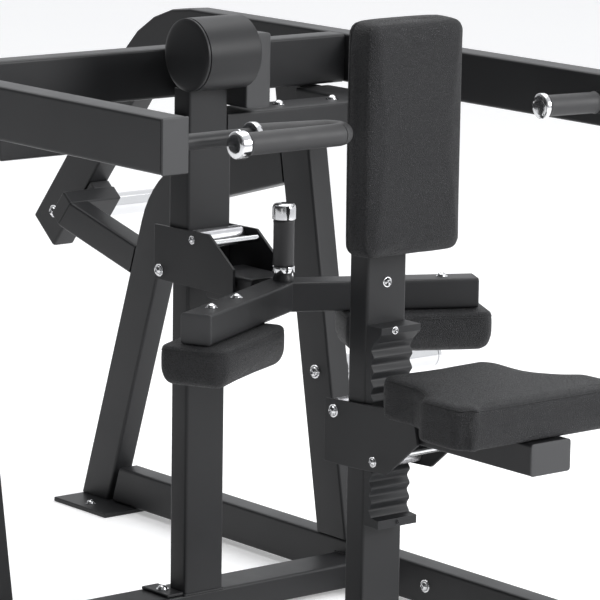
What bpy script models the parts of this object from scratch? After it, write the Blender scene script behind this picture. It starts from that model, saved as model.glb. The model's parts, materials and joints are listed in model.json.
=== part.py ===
"""Plate-loaded seated lever machine: fixed frame, swinging lever frame, sliding seat and sliding thigh pads.

Metres, +Z up, the floor at Z = 0. Only the handles and the pivot bracket aren't symmetric about X = 0.
The user sits at the -Y end facing +Y, and the weights hang at the +Y end.
"""

import math

import bmesh
import bpy
from mathutils import Matrix, Vector

# Clearances and common stock
GAP = 0.0003
WALL = 0.003
CORNER = 0.006
CORNER_STEPS = 2
PLATE = 0.006
ROUND_SIDES = 20

# Tube sections: the wide side, then the narrow side
TUBE_WIDE = 0.090
TUBE_NARROW = 0.050
BASE_HEIGHT = 0.078
LEVER_HEIGHT = 0.095
LEVER_WIDTH = 0.055

# Base
FOOT_THICKNESS = 0.010
FOOT_WIDTH = 0.200
FOOT_LENGTH = 0.185
SIDE_X = 0.4175
BASE_FRONT = -0.980
BASE_REAR = 0.795
CROSSBAR_Y = 0.020
CROSSBAR_HEIGHT = 0.050
FOOT_OVERHANG = 0.028
FLANGE_CORNER = (-0.084, -0.022)
FLANGE_REAR = 0.060
SEAT_POST_Y = -0.515
SEAT_POST_TOP = 1.100

# Side frames
REAR_LEG_FOOT = (0.872, FOOT_THICKNESS)
SIDE_ELBOW = (0.641, 0.705)
LINK_FRONT = (0.255, 0.812)
ELBOW_RADIUS = 0.180
FRONT_LEG_FOOT = 0.078
FRONT_LEG_LEAN = 0.1763
UPPER_BEAM_BOTTOM = 0.918
UPPER_BEAM_TOP = 0.966
UPPER_BEAM_WIDTH = 0.088

# Rests under the weight arms
REST_PLACE = 0.335
REST_ARM_PLACE = 0.545
REST_ARM_HEIGHT = 0.065
REST_RUBBER = 0.022
REST_SEAT = 0.036
REST_RUBBER_LENGTH = 0.060
REST_SEAT_LENGTH = 0.070
REST_CHAMFER = 0.003

# Centre post, pivot and guide sleeve
POST_TOP = 1.0153
PIVOT_Y = -0.040
PIVOT_Z = 1.083
HUB_RADIUS = 0.0675
HUB_HALF = 0.058
SHAFT_RADIUS = 0.020
BORE_RADIUS = 0.030
BEARING_INSET = 0.004
CAP_RADIUS = 0.062
CAP_THICKNESS = 0.010
BRACKET_BOTTOM = 0.9765
BRACKET_TOP = 1.115
BRACKET_REACH = 0.015
SLEEVE_WIDE = 0.100
SLEEVE_NARROW = 0.060
SLEEVE_WALL = 0.0045
SLEEVE_BOTTOM = 0.655
SLEEVE_TOP = 0.910

# Lever frame
LEVER_X = 0.5025
LEVER_Z = 1.0205
LEVER_FRONT = -0.585
LEVER_CAP = 0.005
LEVER_BEND = 0.660
LEVER_RADIUS = 0.2525
WEIGHT_ARM_ANGLE = math.radians(50.5)
WEIGHT_ARM_LENGTH = 0.511
BACK_TUBE_Y = 0.1855
BACK_TUBE_WIDTH = 0.051
HORN_RADIUS = 0.025
HORN_LENGTH = 0.360
HORN_INSET = 0.060
STORAGE_HORN_LENGTH = 0.260
STORAGE_HORN_Z = 0.409
HANDLE_Z = 1.018
HANDLE_Y = -0.550
GRIP_RADIUS = 0.021
BAR_RADIUS = 0.014
LOOP_START = -0.304
LOOP_BEND = -0.188
LOOP_NEAR_Y = -0.622
LOOP_RADIUS = 0.0245
LOOP_TIP = -0.385
RIGHT_GRIP_GAP = 0.010
RIGHT_GRIP_LEAN = 0.014
RIGHT_GRIP_TIP = 0.352

# Thigh carriage
CHEVRON_APEX_Y = -0.245
CHEVRON_END = (0.3185, -0.410)
CHEVRON_BOTTOM = 0.637
CHEVRON_TOP = 0.692
CHEVRON_WIDTH = 0.0585
THIGH_PAD_SIZE = (0.276, 0.130, 0.074)
THIGH_PAD_REACH = 0.246
THIGH_ARM_REAR = -0.082
THIGH_PLATE_X = 0.0525
THIGH_PLATE = ((0.062, 0.655), (0.062, 0.757), (-0.103, 0.760), (-0.177, 0.706), (-0.177, 0.655))
THIGH_RODS = (
    ("thigh_front_roller", (-0.0540, 0.743), 0.018, "bearing"),
    ("thigh_rear_roller", (0.0455, 0.672), 0.012, "bearing"),
    ("thigh_crossrod", (-0.1080, 0.744), 0.007, "chrome"),
)
THIGH_HANDLE_RADIUS = 0.0195
THIGH_HANDLE_Y = -0.250
THIGH_HANDLE_TOP = 0.834

# Chest pad and seat
CHEST_HALF_WIDTH = 0.110
CHEST_BOTTOM = 0.790
CHEST_TOP = 1.200
CHEST_BACK = -0.5475
CHEST_FRONT = -0.615
CHEST_PLATE_HALF = 0.080
CHEST_PLATE_INSET = 0.040
SEAT_TOP = 0.605
SEAT_BOTTOM = 0.530
SEAT_TUBE_BOTTOM = 0.474
SEAT_TUBE_FRONT = -0.968
SEAT_TUBE_REAR = -0.590
SEAT_PLATE_X = 0.0485
SEAT_PLATE = (
    (-0.440, 0.403),
    (-0.440, 0.516),
    (-0.607, 0.5275),
    (-0.682, 0.515),
    (-0.691, 0.476),
    (-0.610, 0.409),
    (-0.496, 0.403),
)
SEAT_RODS = (
    ("seat_rear_roller", (-0.4650, 0.497), 0.022),
    ("seat_front_pin", (-0.5745, 0.425), 0.012),
)
RACK_BOTTOM = 0.303
RACK_TOP = 0.662
RACK_PITCH = 0.026
RACK_HALF_WIDTH = 0.0445
RACK_CREST = 0.020
RACK_DEPTH = 0.007
RACK_STOP = 0.040
RACK_STEPS = 8

X_AXIS = Vector((1, 0, 0))
Y_AXIS = Vector((0, 1, 0))
Z_AXIS = Vector((0, 0, 1))
SIDES = {"left": -1, "right": 1}


def clear_scene():
    for old in list(bpy.data.objects):
        bpy.data.objects.remove(old, do_unlink=True)


def make_material(name, color, roughness, metallic):
    material = bpy.data.materials.new(name)
    material.use_nodes = True
    shader = material.node_tree.nodes["Principled BSDF"]
    shader.inputs["Base Color"].default_value = (*color, 1)
    shader.inputs["Roughness"].default_value = roughness
    shader.inputs["Metallic"].default_value = metallic
    return material


def centre_origin():
    """Moves the whole machine so that the middle of its box, in plan, is at the origin."""
    end = weight_arm_ends()[1]
    rear = end.x + LEVER_HEIGHT / 2 * math.sin(WEIGHT_ARM_ANGLE)
    for obj in PARTS.objects:
        obj.location.y -= (rear + BASE_FRONT) / 2


clear_scene()
PARTS = bpy.data.collections.new("lever_machine")
bpy.context.scene.collection.children.link(PARTS)
FINISHES = {
    "steel": ((0.030, 0.031, 0.033), 0.42, 0.0),
    "chrome": ((0.80, 0.80, 0.82), 0.12, 1.0),
    "rubber": ((0.020, 0.020, 0.021), 0.75, 0.0),
    "leather": ((0.024, 0.025, 0.027), 0.55, 0.0),
    "bearing": ((0.55, 0.55, 0.57), 0.25, 1.0),
}


def add_object(name, data, finish):
    obj = bpy.data.objects.new(name, data)
    PARTS.objects.link(obj)
    data.materials.append(make_material(name, *FINISHES[finish]))
    return obj


def finish_mesh(name, work, finish):
    """The work mesh as a named object with outward faces and smooth round sides."""
    bmesh.ops.recalc_face_normals(work, faces=work.faces)
    mesh = bpy.data.meshes.new(name)
    work.to_mesh(mesh)
    work.free()
    mesh.shade_smooth()
    mesh.set_sharp_from_angle(angle=math.radians(35))
    return add_object(name, mesh, finish)


def set_origin(obj, point):
    """Moves the object's origin to a point of its joint axis, leaving its shape where it is."""
    obj.data.transform(Matrix.Translation(-point))
    obj.location = point


def put_on_pivot(obj):
    """A piece of the lever frame has its origin on the lever's axis."""
    set_origin(obj, Vector((0, PIVOT_Y, PIVOT_Z)))
    return obj


def rounded_section(width, height, radius):
    """Points round a rectangle with rounded corners, anticlockwise."""
    points = []
    for quarter in range(4):
        turn = quarter * math.pi / 2
        sign_x = 1 if quarter in (0, 3) else -1
        sign_y = 1 if quarter in (0, 1) else -1
        for step in range(CORNER_STEPS + 1):
            angle = turn + step / CORNER_STEPS * math.pi / 2
            across = sign_x * (width / 2 - radius) + radius * math.cos(angle)
            along = sign_y * (height / 2 - radius) + radius * math.sin(angle)
            points.append((across, along))
    return points


def add_tube(work, path, side, width, height, start_cut=None, end_cut=None, wall=WALL):
    """A hollow rectangular tube along the path, mitred at each bend and cut to a plane at each end.

    side is the direction of the width, which is at right angles to every stretch of the path.
    """
    path = [Vector(point) for point in path]
    runs = [(b - a).normalized() for a, b in zip(path, path[1:])]
    inner_radius = max(CORNER - wall, wall / 2)
    outlines = (
        rounded_section(width, height, CORNER),
        rounded_section(width - 2 * wall, height - 2 * wall, inner_radius),
    )
    rings = []
    for index, point in enumerate(path):
        run = runs[min(index, len(runs) - 1)]
        if index == 0:
            cut = Vector(start_cut) if start_cut else run
        elif index == len(path) - 1:
            cut = Vector(end_cut) if end_cut else run
        else:
            cut = (runs[index - 1] + runs[index]).normalized()
        up = side.cross(run)
        pair = []
        for outline in outlines:
            ring = []
            for across, along in outline:
                offset = side * across + up * along
                offset -= run * (offset.dot(cut) / run.dot(cut))
                ring.append(work.verts.new(point + offset))
            pair.append(ring)
        rings.append(pair)
    count = len(outlines[0])
    for near, far in zip(rings, rings[1:]):
        for skin in (0, 1):
            for i in range(count):
                j = (i + 1) % count
                work.faces.new((near[skin][i], near[skin][j], far[skin][j], far[skin][i]))
    for outer, inner in (rings[0], rings[-1]):
        for i in range(count):
            j = (i + 1) % count
            work.faces.new((outer[i], outer[j], inner[j], inner[i]))


def tube(name, path, side, width, height, **cuts):
    work = bmesh.new()
    add_tube(work, path, side, width, height, **cuts)
    return finish_mesh(name, work, "steel")


def bevelled(work, size, turn, center, bevel):
    made = bmesh.ops.create_cube(work, size=1)["verts"]
    bmesh.ops.scale(work, vec=size, verts=made)
    edges = list({edge for vert in made for edge in vert.link_edges})
    made = bmesh.ops.bevel(work, geom=edges, offset=bevel, segments=1, affect="EDGES")["verts"]
    bmesh.ops.transform(work, matrix=Matrix.Translation(center) @ turn, verts=made)


def add_box(work, low, high, bevel=0.0015):
    low, high = Vector(low), Vector(high)
    bevelled(work, high - low, Matrix.Identity(4), (low + high) / 2, bevel)


def box(name, low, high, finish, bevel=0.0015):
    work = bmesh.new()
    add_box(work, low, high, bevel)
    return finish_mesh(name, work, finish)


def pad_box(name, low, high, bevel):
    """A plain solid for a cushion, rounded by a Bevel modifier."""
    obj = box(name, low, high, "leather", bevel=0.004)
    rounding = obj.modifiers.new("rounding", "BEVEL")
    rounding.width = bevel
    rounding.segments = 1
    return obj


def add_cylinder(work, start, end, radius, sides=ROUND_SIDES, chamfer=0.001):
    start, end = Vector(start), Vector(end)
    made = bmesh.ops.create_cone(
        work, cap_ends=True, segments=sides, radius1=radius, radius2=radius, depth=(end - start).length
    )["verts"]
    edges = {edge for vert in made for edge in vert.link_edges}
    rims = [edge for edge in edges if abs(edge.verts[0].co.z - edge.verts[1].co.z) < GAP]
    made = bmesh.ops.bevel(work, geom=rims, offset=chamfer, segments=1, affect="EDGES")["verts"] + made
    made = list({vert for vert in made if vert.is_valid})
    turn = Z_AXIS.rotation_difference((end - start).normalized()).to_matrix().to_4x4()
    bmesh.ops.transform(work, matrix=Matrix.Translation((start + end) / 2) @ turn, verts=made)


def cylinder(name, start, end, radius, finish, **options):
    work = bmesh.new()
    add_cylinder(work, start, end, radius, **options)
    return finish_mesh(name, work, finish)


def ring(name, start, end, inner, outer, finish):
    """A turned ring along X from a screwed profile that runs down its outer side."""
    work = bmesh.new()
    half = (end - start) / 2
    chamfer = min(0.001, (outer - inner) / 4)
    profile = [
        (inner, half),
        (outer - chamfer, half),
        (outer, half - chamfer),
        (outer, -half + chamfer),
        (outer - chamfer, -half),
        (inner, -half),
    ]
    verts = [work.verts.new((radius, 0, height)) for radius, height in profile]
    for a, b in zip(verts, verts[1:] + verts[:1]):
        work.edges.new((a, b))
    obj = finish_mesh(name, work, finish)
    turning = obj.modifiers.new("turning", "SCREW")
    turning.steps = turning.render_steps = 48
    turning.use_merge_vertices = True
    turning.merge_threshold = 0.0001
    obj.rotation_euler = (0, math.pi / 2, 0)
    obj.location = ((start + end) / 2, PIVOT_Y, PIVOT_Z)
    return obj


def side_plate(name, outline, x, thickness, finish="steel"):
    """A flat plate in the Y-Z plane, from x to x + thickness, with the given (y, z) outline."""
    curve = bpy.data.curves.new(name, "CURVE")
    curve.dimensions = "2D"
    curve.fill_mode = "BOTH"
    curve.extrude = thickness / 2
    spline = curve.splines.new("POLY")
    spline.points.add(len(outline) - 1)
    for point, (y, z) in zip(spline.points, outline):
        point.co = (y, z, 0, 1)
    spline.use_cyclic_u = True
    obj = add_object(name, curve, finish)
    obj.matrix_world = Matrix(((0, 0, 1, x + thickness / 2), (1, 0, 0, 0), (0, 1, 0, 0), (0, 0, 0, 1)))
    return obj


def rod(name, path, radius, finish):
    """A round bar along the path, with flat ends."""
    curve = bpy.data.curves.new(name, "CURVE")
    curve.dimensions = "3D"
    curve.bevel_depth = radius
    curve.bevel_resolution = 3
    curve.use_fill_caps = True
    spline = curve.splines.new("POLY")
    spline.points.add(len(path) - 1)
    for point, place in zip(spline.points, path):
        point.co = (*place, 1)
    return add_object(name, curve, finish)


def arc(center, radius, start, end, steps):
    """Points (u, v) on an arc between two angles."""
    angles = [start + (end - start) * i / steps for i in range(steps + 1)]
    return [(center[0] + radius * math.cos(a), center[1] + radius * math.sin(a)) for a in angles]


def fillet(before, corner, after, radius, steps=8):
    """The corner of a bent path replaced by an arc of the given radius."""
    before, corner, after = Vector(before), Vector(corner), Vector(after)
    back = (before - corner).normalized()
    ahead = (after - corner).normalized()
    half = back.angle(ahead) / 2
    center = corner + (back + ahead).normalized() * (radius / math.sin(half))
    first = corner + back * (radius / math.tan(half)) - center
    last = corner + ahead * (radius / math.tan(half)) - center
    angle = first.angle(last)
    weights = [(math.sin((1 - i / steps) * angle), math.sin(i / steps * angle)) for i in range(steps + 1)]
    return [center + (first * a + last * b) / math.sin(angle) for a, b in weights]


def front_leg_y(z):
    """The middle of the leaning front leg at height z."""
    return FRONT_LEG_FOOT + (z - FOOT_THICKNESS - BASE_HEIGHT) * FRONT_LEG_LEAN


def leg_front_normal():
    return Vector((0, 1, -FRONT_LEG_LEAN)).normalized()


def make_base():
    for side, sign in SIDES.items():
        x = sign * SIDE_X
        z = FOOT_THICKNESS + GAP + BASE_HEIGHT / 2
        run = ((x, BASE_FRONT, z), (x, BASE_REAR, z))
        leg_normal = (0, SIDE_ELBOW[1] - REAR_LEG_FOOT[1], REAR_LEG_FOOT[0] - SIDE_ELBOW[0])
        tube(f"base_beam_{side}", run, X_AXIS, TUBE_NARROW, BASE_HEIGHT, end_cut=leg_normal)
    half = SIDE_X - TUBE_NARROW / 2 - GAP
    z = FOOT_THICKNESS + CROSSBAR_HEIGHT / 2
    for name, y in (("base_crossbar", CROSSBAR_Y), ("front_crossbar", SEAT_POST_Y)):
        tube(name, ((-half, y, z), (half, y, z)), Y_AXIS, TUBE_WIDE, CROSSBAR_HEIGHT)
    for end, y in (("rear", BASE_REAR + FOOT_OVERHANG), ("front", BASE_FRONT + FOOT_LENGTH / 2)):
        for side, sign in SIDES.items():
            low = (sign * SIDE_X - FOOT_WIDTH / 2, y - FOOT_LENGTH / 2, 0)
            high = (sign * SIDE_X + FOOT_WIDTH / 2, y + FOOT_LENGTH / 2, FOOT_THICKNESS - GAP)
            box(f"{end}_foot_plate_{side}", low, high, "steel")


def make_side_frames():
    top = UPPER_BEAM_TOP
    foot_z = FOOT_THICKNESS + BASE_HEIGHT + 2 * GAP
    normal = leg_front_normal()
    flat = (0, 0, 1)
    for side, sign in SIDES.items():
        x = sign * SIDE_X
        leg = ((x, front_leg_y(foot_z), foot_z), (x, front_leg_y(top), top))
        tube(f"front_leg_{side}", leg, X_AXIS, TUBE_NARROW, TUBE_WIDE, start_cut=flat, end_cut=flat)
        foot = (x, *REAR_LEG_FOOT)
        corner = (x, *SIDE_ELBOW)
        ahead = Vector((x, *LINK_FRONT))
        run = (ahead - Vector(corner)).normalized()
        on_leg = Vector((x, front_leg_y(foot_z), foot_z)) + normal * (TUBE_WIDE / 2 + GAP)
        front = ahead + run * ((on_leg - ahead).dot(normal) / run.dot(normal))
        path = [foot, *fillet(foot, corner, ahead, ELBOW_RADIUS), front]
        tube(f"side_loop_{side}", path, X_AXIS, TUBE_NARROW, TUBE_WIDE, start_cut=flat, end_cut=normal)


def make_upper_beams():
    """The beams beside the centre post, which turn back at their outer ends to meet the front legs."""
    z = (UPPER_BEAM_BOTTOM + UPPER_BEAM_TOP) / 2
    inner = TUBE_WIDE / 2 + GAP
    normal = leg_front_normal()
    meet_y = front_leg_y(z) - TUBE_WIDE / 2 / normal.y - GAP
    for side, sign in SIDES.items():
        outer = sign * SIDE_X
        path = ((sign * inner, CROSSBAR_Y, z), (outer, CROSSBAR_Y, z), (outer, meet_y, z))
        height = UPPER_BEAM_TOP - UPPER_BEAM_BOTTOM
        tube(f"upper_beam_{side}", path, Z_AXIS, height, UPPER_BEAM_WIDTH, end_cut=normal)


def make_centre_post():
    floor = FOOT_THICKNESS + CROSSBAR_HEIGHT + GAP
    tube("centre_post", ((0, 0, floor), (0, 0, POST_TOP)), X_AXIS, TUBE_WIDE, TUBE_NARROW)
    sleeve = ((0, 0, SLEEVE_BOTTOM), (0, 0, SLEEVE_TOP))
    tube("guide_sleeve", sleeve, X_AXIS, SLEEVE_WIDE, SLEEVE_NARROW, wall=SLEEVE_WALL)
    edge = TUBE_WIDE / 2 + GAP
    box("post_flange", (*FLANGE_CORNER, floor), (-edge, FLANGE_REAR, floor + PLATE), "steel")
    bush = HUB_HALF - BEARING_INSET
    ring("hub_barrel", -HUB_HALF, HUB_HALF, BORE_RADIUS, HUB_RADIUS, "steel")
    ring("hub_bearing", -bush, bush, SHAFT_RADIUS + GAP, BORE_RADIUS - GAP, "bearing")
    ends = ((-HUB_HALF - CAP_THICKNESS, PIVOT_Y, PIVOT_Z), (-HUB_HALF - GAP, PIVOT_Y, PIVOT_Z))
    cylinder("hub_cap", *ends, CAP_RADIUS, "steel", sides=48, chamfer=0.004)


def weight_arm_ends():
    """Where the weight arm starts and ends, as (y, z) on its middle line."""
    start_y = LEVER_BEND + LEVER_RADIUS * math.sin(WEIGHT_ARM_ANGLE)
    start_z = LEVER_Z - LEVER_RADIUS * (1 - math.cos(WEIGHT_ARM_ANGLE))
    end_y = start_y + WEIGHT_ARM_LENGTH * math.cos(WEIGHT_ARM_ANGLE)
    end_z = start_z - WEIGHT_ARM_LENGTH * math.sin(WEIGHT_ARM_ANGLE)
    return Vector((start_y, start_z)), Vector((end_y, end_z))


def make_rests():
    """The arms on the rear legs whose rubber blocks the weight arms rest on."""
    start, end = weight_arm_ends()
    along = (end - start).normalized()
    under = Vector((-math.sin(WEIGHT_ARM_ANGLE), -math.cos(WEIGHT_ARM_ANGLE)))
    touch = start + along * REST_PLACE + under * (LEVER_HEIGHT / 2 + GAP)
    turn = Matrix.Rotation(-WEIGHT_ARM_ANGLE, 4, "X")
    leg_run = (Vector(SIDE_ELBOW) - Vector(REAR_LEG_FOOT)).normalized()
    leg_normal = Vector((leg_run.y, -leg_run.x))
    on_leg = Vector(REAR_LEG_FOOT) + leg_run * REST_ARM_PLACE + leg_normal * (TUBE_WIDE / 2 + GAP)
    seat_middle = touch + under * (REST_RUBBER + GAP + REST_SEAT / 2)
    seat_back = touch + under * (REST_RUBBER + REST_SEAT + 2 * GAP)
    for side, sign in SIDES.items():
        rubber = bmesh.new()
        place = Vector((sign * LEVER_X, *(touch + under * (REST_RUBBER / 2))))
        bevelled(rubber, (TUBE_NARROW, REST_RUBBER_LENGTH, REST_RUBBER), turn, place, REST_CHAMFER)
        finish_mesh(f"rest_bumper_{side}", rubber, "rubber")
        seat = bmesh.new()
        place = Vector((sign * (SIDE_X + LEVER_X) / 2, *seat_middle))
        width = LEVER_X - SIDE_X + TUBE_NARROW
        bevelled(seat, (width, REST_SEAT_LENGTH, REST_SEAT), turn, place, REST_CHAMFER)
        finish_mesh(f"rest_seat_{side}", seat, "steel")
        path = ((sign * SIDE_X, *on_leg), (sign * SIDE_X, *seat_back))
        cuts = {"start_cut": (0, *leg_normal), "end_cut": (0, *under)}
        tube(f"rest_arm_{side}", path, X_AXIS, TUBE_NARROW, REST_ARM_HEIGHT, **cuts)


def make_storage_horns():
    y = front_leg_y(STORAGE_HORN_Z)
    for side, sign in SIDES.items():
        start = sign * (SIDE_X + TUBE_NARROW / 2 + GAP)
        ends = ((start, y, STORAGE_HORN_Z), (start + sign * STORAGE_HORN_LENGTH, y, STORAGE_HORN_Z))
        cylinder(f"storage_horn_{side}", *ends, HORN_RADIUS, "chrome", chamfer=0.003)


def rack_outline():
    """The wavy front of the seat rack between its two end stops, as (y, z)."""
    back = SEAT_POST_Y - TUBE_NARROW / 2 - GAP
    lip = back - RACK_STOP
    first = RACK_BOTTOM + 0.017
    waves = int((RACK_TOP - RACK_BOTTOM - 0.030) / RACK_PITCH)
    points = [(back, RACK_BOTTOM), (lip, RACK_BOTTOM), (lip, RACK_BOTTOM + 0.015)]
    for index in range(waves * RACK_STEPS + 1):
        phase = index / RACK_STEPS * 2 * math.pi
        swell = RACK_CREST - RACK_DEPTH * (1 - math.cos(phase)) / 2
        points.append((back - swell, first + index * RACK_PITCH / RACK_STEPS))
    points += [(lip, RACK_TOP - 0.012), (lip, RACK_TOP), (back, RACK_TOP)]
    return points


def make_seat_post():
    floor = FOOT_THICKNESS + CROSSBAR_HEIGHT + GAP
    path = ((0, SEAT_POST_Y, floor), (0, SEAT_POST_Y, SEAT_POST_TOP))
    tube("seat_post", path, X_AXIS, TUBE_WIDE, TUBE_NARROW)
    side_plate("seat_rack", rack_outline(), -RACK_HALF_WIDTH, 2 * RACK_HALF_WIDTH)
    front = SEAT_POST_Y - TUBE_NARROW / 2 - GAP
    low = (-CHEST_PLATE_HALF, front - PLATE, CHEST_BOTTOM + CHEST_PLATE_INSET)
    high = (CHEST_PLATE_HALF, front, CHEST_TOP - CHEST_PLATE_INSET)
    box("chest_pad_plate", low, high, "steel")
    low = (-CHEST_HALF_WIDTH, CHEST_FRONT, CHEST_BOTTOM)
    high = (CHEST_HALF_WIDTH, CHEST_BACK, CHEST_TOP)
    pad_box("chest_pad", low, high, 0.014)


def make_lever_arms():
    arc_top = (LEVER_BEND, LEVER_Z - LEVER_RADIUS)
    bend = arc(arc_top, LEVER_RADIUS, math.pi / 2, math.pi / 2 - WEIGHT_ARM_ANGLE, 4)
    end = weight_arm_ends()[1]
    for side, sign in SIDES.items():
        x = sign * LEVER_X
        path = [(x, LEVER_FRONT, LEVER_Z)] + [(x, y, z) for y, z in bend] + [(x, *end)]
        put_on_pivot(tube(f"lever_arm_{side}", path, X_AXIS, LEVER_WIDTH, LEVER_HEIGHT))
    half = LEVER_X - LEVER_WIDTH / 2 - GAP
    cross = ((-half, BACK_TUBE_Y, LEVER_Z), (half, BACK_TUBE_Y, LEVER_Z))
    put_on_pivot(tube("lever_back_tube", cross, Y_AXIS, BACK_TUBE_WIDTH, LEVER_HEIGHT))


def make_pivot():
    left = -HUB_HALF + BEARING_INSET
    right = HUB_HALF + BEARING_INSET
    ends = ((left, PIVOT_Y, PIVOT_Z), (right, PIVOT_Y, PIVOT_Z))
    put_on_pivot(cylinder("pivot_shaft", *ends, SHAFT_RADIUS, "bearing", sides=32))
    middle = right + GAP + LEVER_WIDTH / 2
    z = (BRACKET_BOTTOM + BRACKET_TOP) / 2
    rear = BACK_TUBE_Y - BACK_TUBE_WIDTH / 2 - GAP
    path = ((middle, PIVOT_Y - BRACKET_REACH, z), (middle, rear, z))
    height = BRACKET_TOP - BRACKET_BOTTOM
    put_on_pivot(tube("lever_bracket", path, X_AXIS, LEVER_WIDTH, height))


def make_weight_horns():
    start, end = weight_arm_ends()
    place = end - (end - start).normalized() * HORN_INSET
    for side, sign in SIDES.items():
        root = sign * (LEVER_X + LEVER_WIDTH / 2 + GAP)
        ends = ((root, *place), (root + sign * HORN_LENGTH, *place))
        put_on_pivot(cylinder(f"weight_horn_{side}", *ends, HORN_RADIUS, "chrome", chamfer=0.003))


def make_lever_caps():
    """The plugs in the open front ends of the lever tubes."""
    for side, sign in SIDES.items():
        x = sign * LEVER_X
        low = (x - LEVER_WIDTH / 2, LEVER_FRONT - LEVER_CAP, LEVER_Z - LEVER_HEIGHT / 2)
        high = (x + LEVER_WIDTH / 2, LEVER_FRONT - GAP, LEVER_Z + LEVER_HEIGHT / 2)
        put_on_pivot(box(f"lever_end_cap_{side}", low, high, "rubber"))


def make_left_handle():
    """A bar from the left lever tube that ends in a loop grip, folded back towards the tube."""
    inner = -LEVER_X + LEVER_WIDTH / 2 + GAP
    bar = ((inner, HANDLE_Y, HANDLE_Z), (LOOP_START, HANDLE_Y, HANDLE_Z))
    put_on_pivot(cylinder("handle_bar_left", *bar, BAR_RADIUS, "steel"))
    bend_middle = (LOOP_BEND, LOOP_NEAR_Y + LOOP_RADIUS)
    bend = arc(bend_middle, LOOP_RADIUS, math.radians(78), math.radians(-90), 7)
    straight = [(LOOP_START + GAP, HANDLE_Y), (LOOP_START + BAR_RADIUS, HANDLE_Y)]
    path = straight + bend + [(LOOP_TIP, LOOP_NEAR_Y)]
    put_on_pivot(rod("loop_grip_left", [(x, y, HANDLE_Z) for x, y in path], GRIP_RADIUS, "rubber"))


def make_right_handle():
    """A short grip that leans forward from its inner end to the right lever tube."""
    root = (LEVER_X - LEVER_WIDTH / 2 - RIGHT_GRIP_GAP, HANDLE_Y - RIGHT_GRIP_LEAN, HANDLE_Z)
    tip = (RIGHT_GRIP_TIP, HANDLE_Y, HANDLE_Z)
    put_on_pivot(rod("grip_right", (root, tip), GRIP_RADIUS, "rubber"))


def make_thigh_guide():
    """The two plates that hug the guide sleeve, and the rollers and rod between them."""
    side_plate("thigh_plate_left", THIGH_PLATE, -THIGH_PLATE_X - PLATE, PLATE)
    side_plate("thigh_plate_right", THIGH_PLATE, THIGH_PLATE_X, PLATE)
    for name, (y, z), radius, finish in THIGH_RODS:
        ends = ((-THIGH_PLATE_X + GAP, y, z), (THIGH_PLATE_X - GAP, y, z))
        cylinder(name, *ends, radius, finish)


def make_thigh_arms():
    z = (CHEVRON_BOTTOM + CHEVRON_TOP) / 2
    height = CHEVRON_TOP - CHEVRON_BOTTOM
    run = Vector((CHEVRON_END[0], CHEVRON_END[1] - CHEVRON_APEX_Y, 0)).normalized()
    apex_back = CHEVRON_APEX_Y + CHEVRON_WIDTH / 2 / run.x
    arm = ((0, THIGH_ARM_REAR, z), (0, apex_back - 0.001, z))
    tube("thigh_arm", arm, X_AXIS, TUBE_WIDE, height)
    ends = [(sign * CHEVRON_END[0], CHEVRON_END[1], z) for sign in (-1, 1)]
    tube("thigh_chevron", (ends[0], (0, CHEVRON_APEX_Y, z), ends[1]), Z_AXIS, height, CHEVRON_WIDTH)
    for side, sign in SIDES.items():
        turn = Matrix.Rotation(sign * math.atan2(run.y, run.x), 4, "Z")
        x = sign * run.x * THIGH_PAD_REACH
        y = CHEVRON_APEX_Y + run.y * THIGH_PAD_REACH
        middle = Vector((x, y, CHEVRON_BOTTOM - GAP - THIGH_PAD_SIZE[2] / 2))
        work = bmesh.new()
        bevelled(work, THIGH_PAD_SIZE, Matrix.Identity(4), Vector(), 0.004)
        pad = finish_mesh(f"thigh_pad_{side}", work, "leather")
        pad.matrix_world = Matrix.Translation(middle) @ turn
        rounding = pad.modifiers.new("rounding", "BEVEL")
        rounding.width = 0.012
        rounding.segments = 1


def make_thigh_handle():
    """The upright grip on the chevron's apex."""
    low = (0, THIGH_HANDLE_Y, CHEVRON_TOP + GAP)
    high = (0, THIGH_HANDLE_Y, THIGH_HANDLE_TOP)
    cylinder("thigh_handle", low, high, THIGH_HANDLE_RADIUS, "rubber", chamfer=0.003)


def seat_outline():
    """Half of the seat's outline from its narrow rear to its broad front, as (x, y)."""
    nose = arc((0.094, -0.698), 0.036, math.pi / 2, 0, 4)
    flare = [(0.131, -0.765), (0.154, -0.812)]
    shoulder = arc((0.160, -0.862), 0.032, math.radians(35), 0, 3)
    front = arc((0.150, -0.923), 0.042, 0, -math.pi / 2, 5)
    return nose + flare + shoulder + front


def make_seat():
    side_plate("seat_plate_left", SEAT_PLATE, -SEAT_PLATE_X - PLATE, PLATE)
    side_plate("seat_plate_right", SEAT_PLATE, SEAT_PLATE_X, PLATE)
    for name, (y, z), radius in SEAT_RODS:
        ends = ((-SEAT_PLATE_X + GAP, y, z), (SEAT_PLATE_X - GAP, y, z))
        cylinder(name, *ends, radius, "bearing")
    z = (SEAT_TUBE_BOTTOM + SEAT_BOTTOM - GAP) / 2
    height = SEAT_BOTTOM - GAP - SEAT_TUBE_BOTTOM
    tube("seat_tube", ((0, SEAT_TUBE_REAR, z), (0, SEAT_TUBE_FRONT, z)), X_AXIS, TUBE_WIDE, height)
    right = seat_outline()
    left = [(-x, y) for x, y in reversed(right)]
    curve = bpy.data.curves.new("seat_pad", "CURVE")
    curve.dimensions = "2D"
    curve.fill_mode = "BOTH"
    curve.extrude = (SEAT_TOP - SEAT_BOTTOM) / 2
    spline = curve.splines.new("POLY")
    spline.points.add(len(right + left) - 1)
    for point, place in zip(spline.points, right + left):
        point.co = (*place, 0, 1)
    spline.use_cyclic_u = True
    pad = add_object("seat_pad", curve, "leather")
    pad.location = (0, 0, (SEAT_TOP + SEAT_BOTTOM) / 2)


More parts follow.
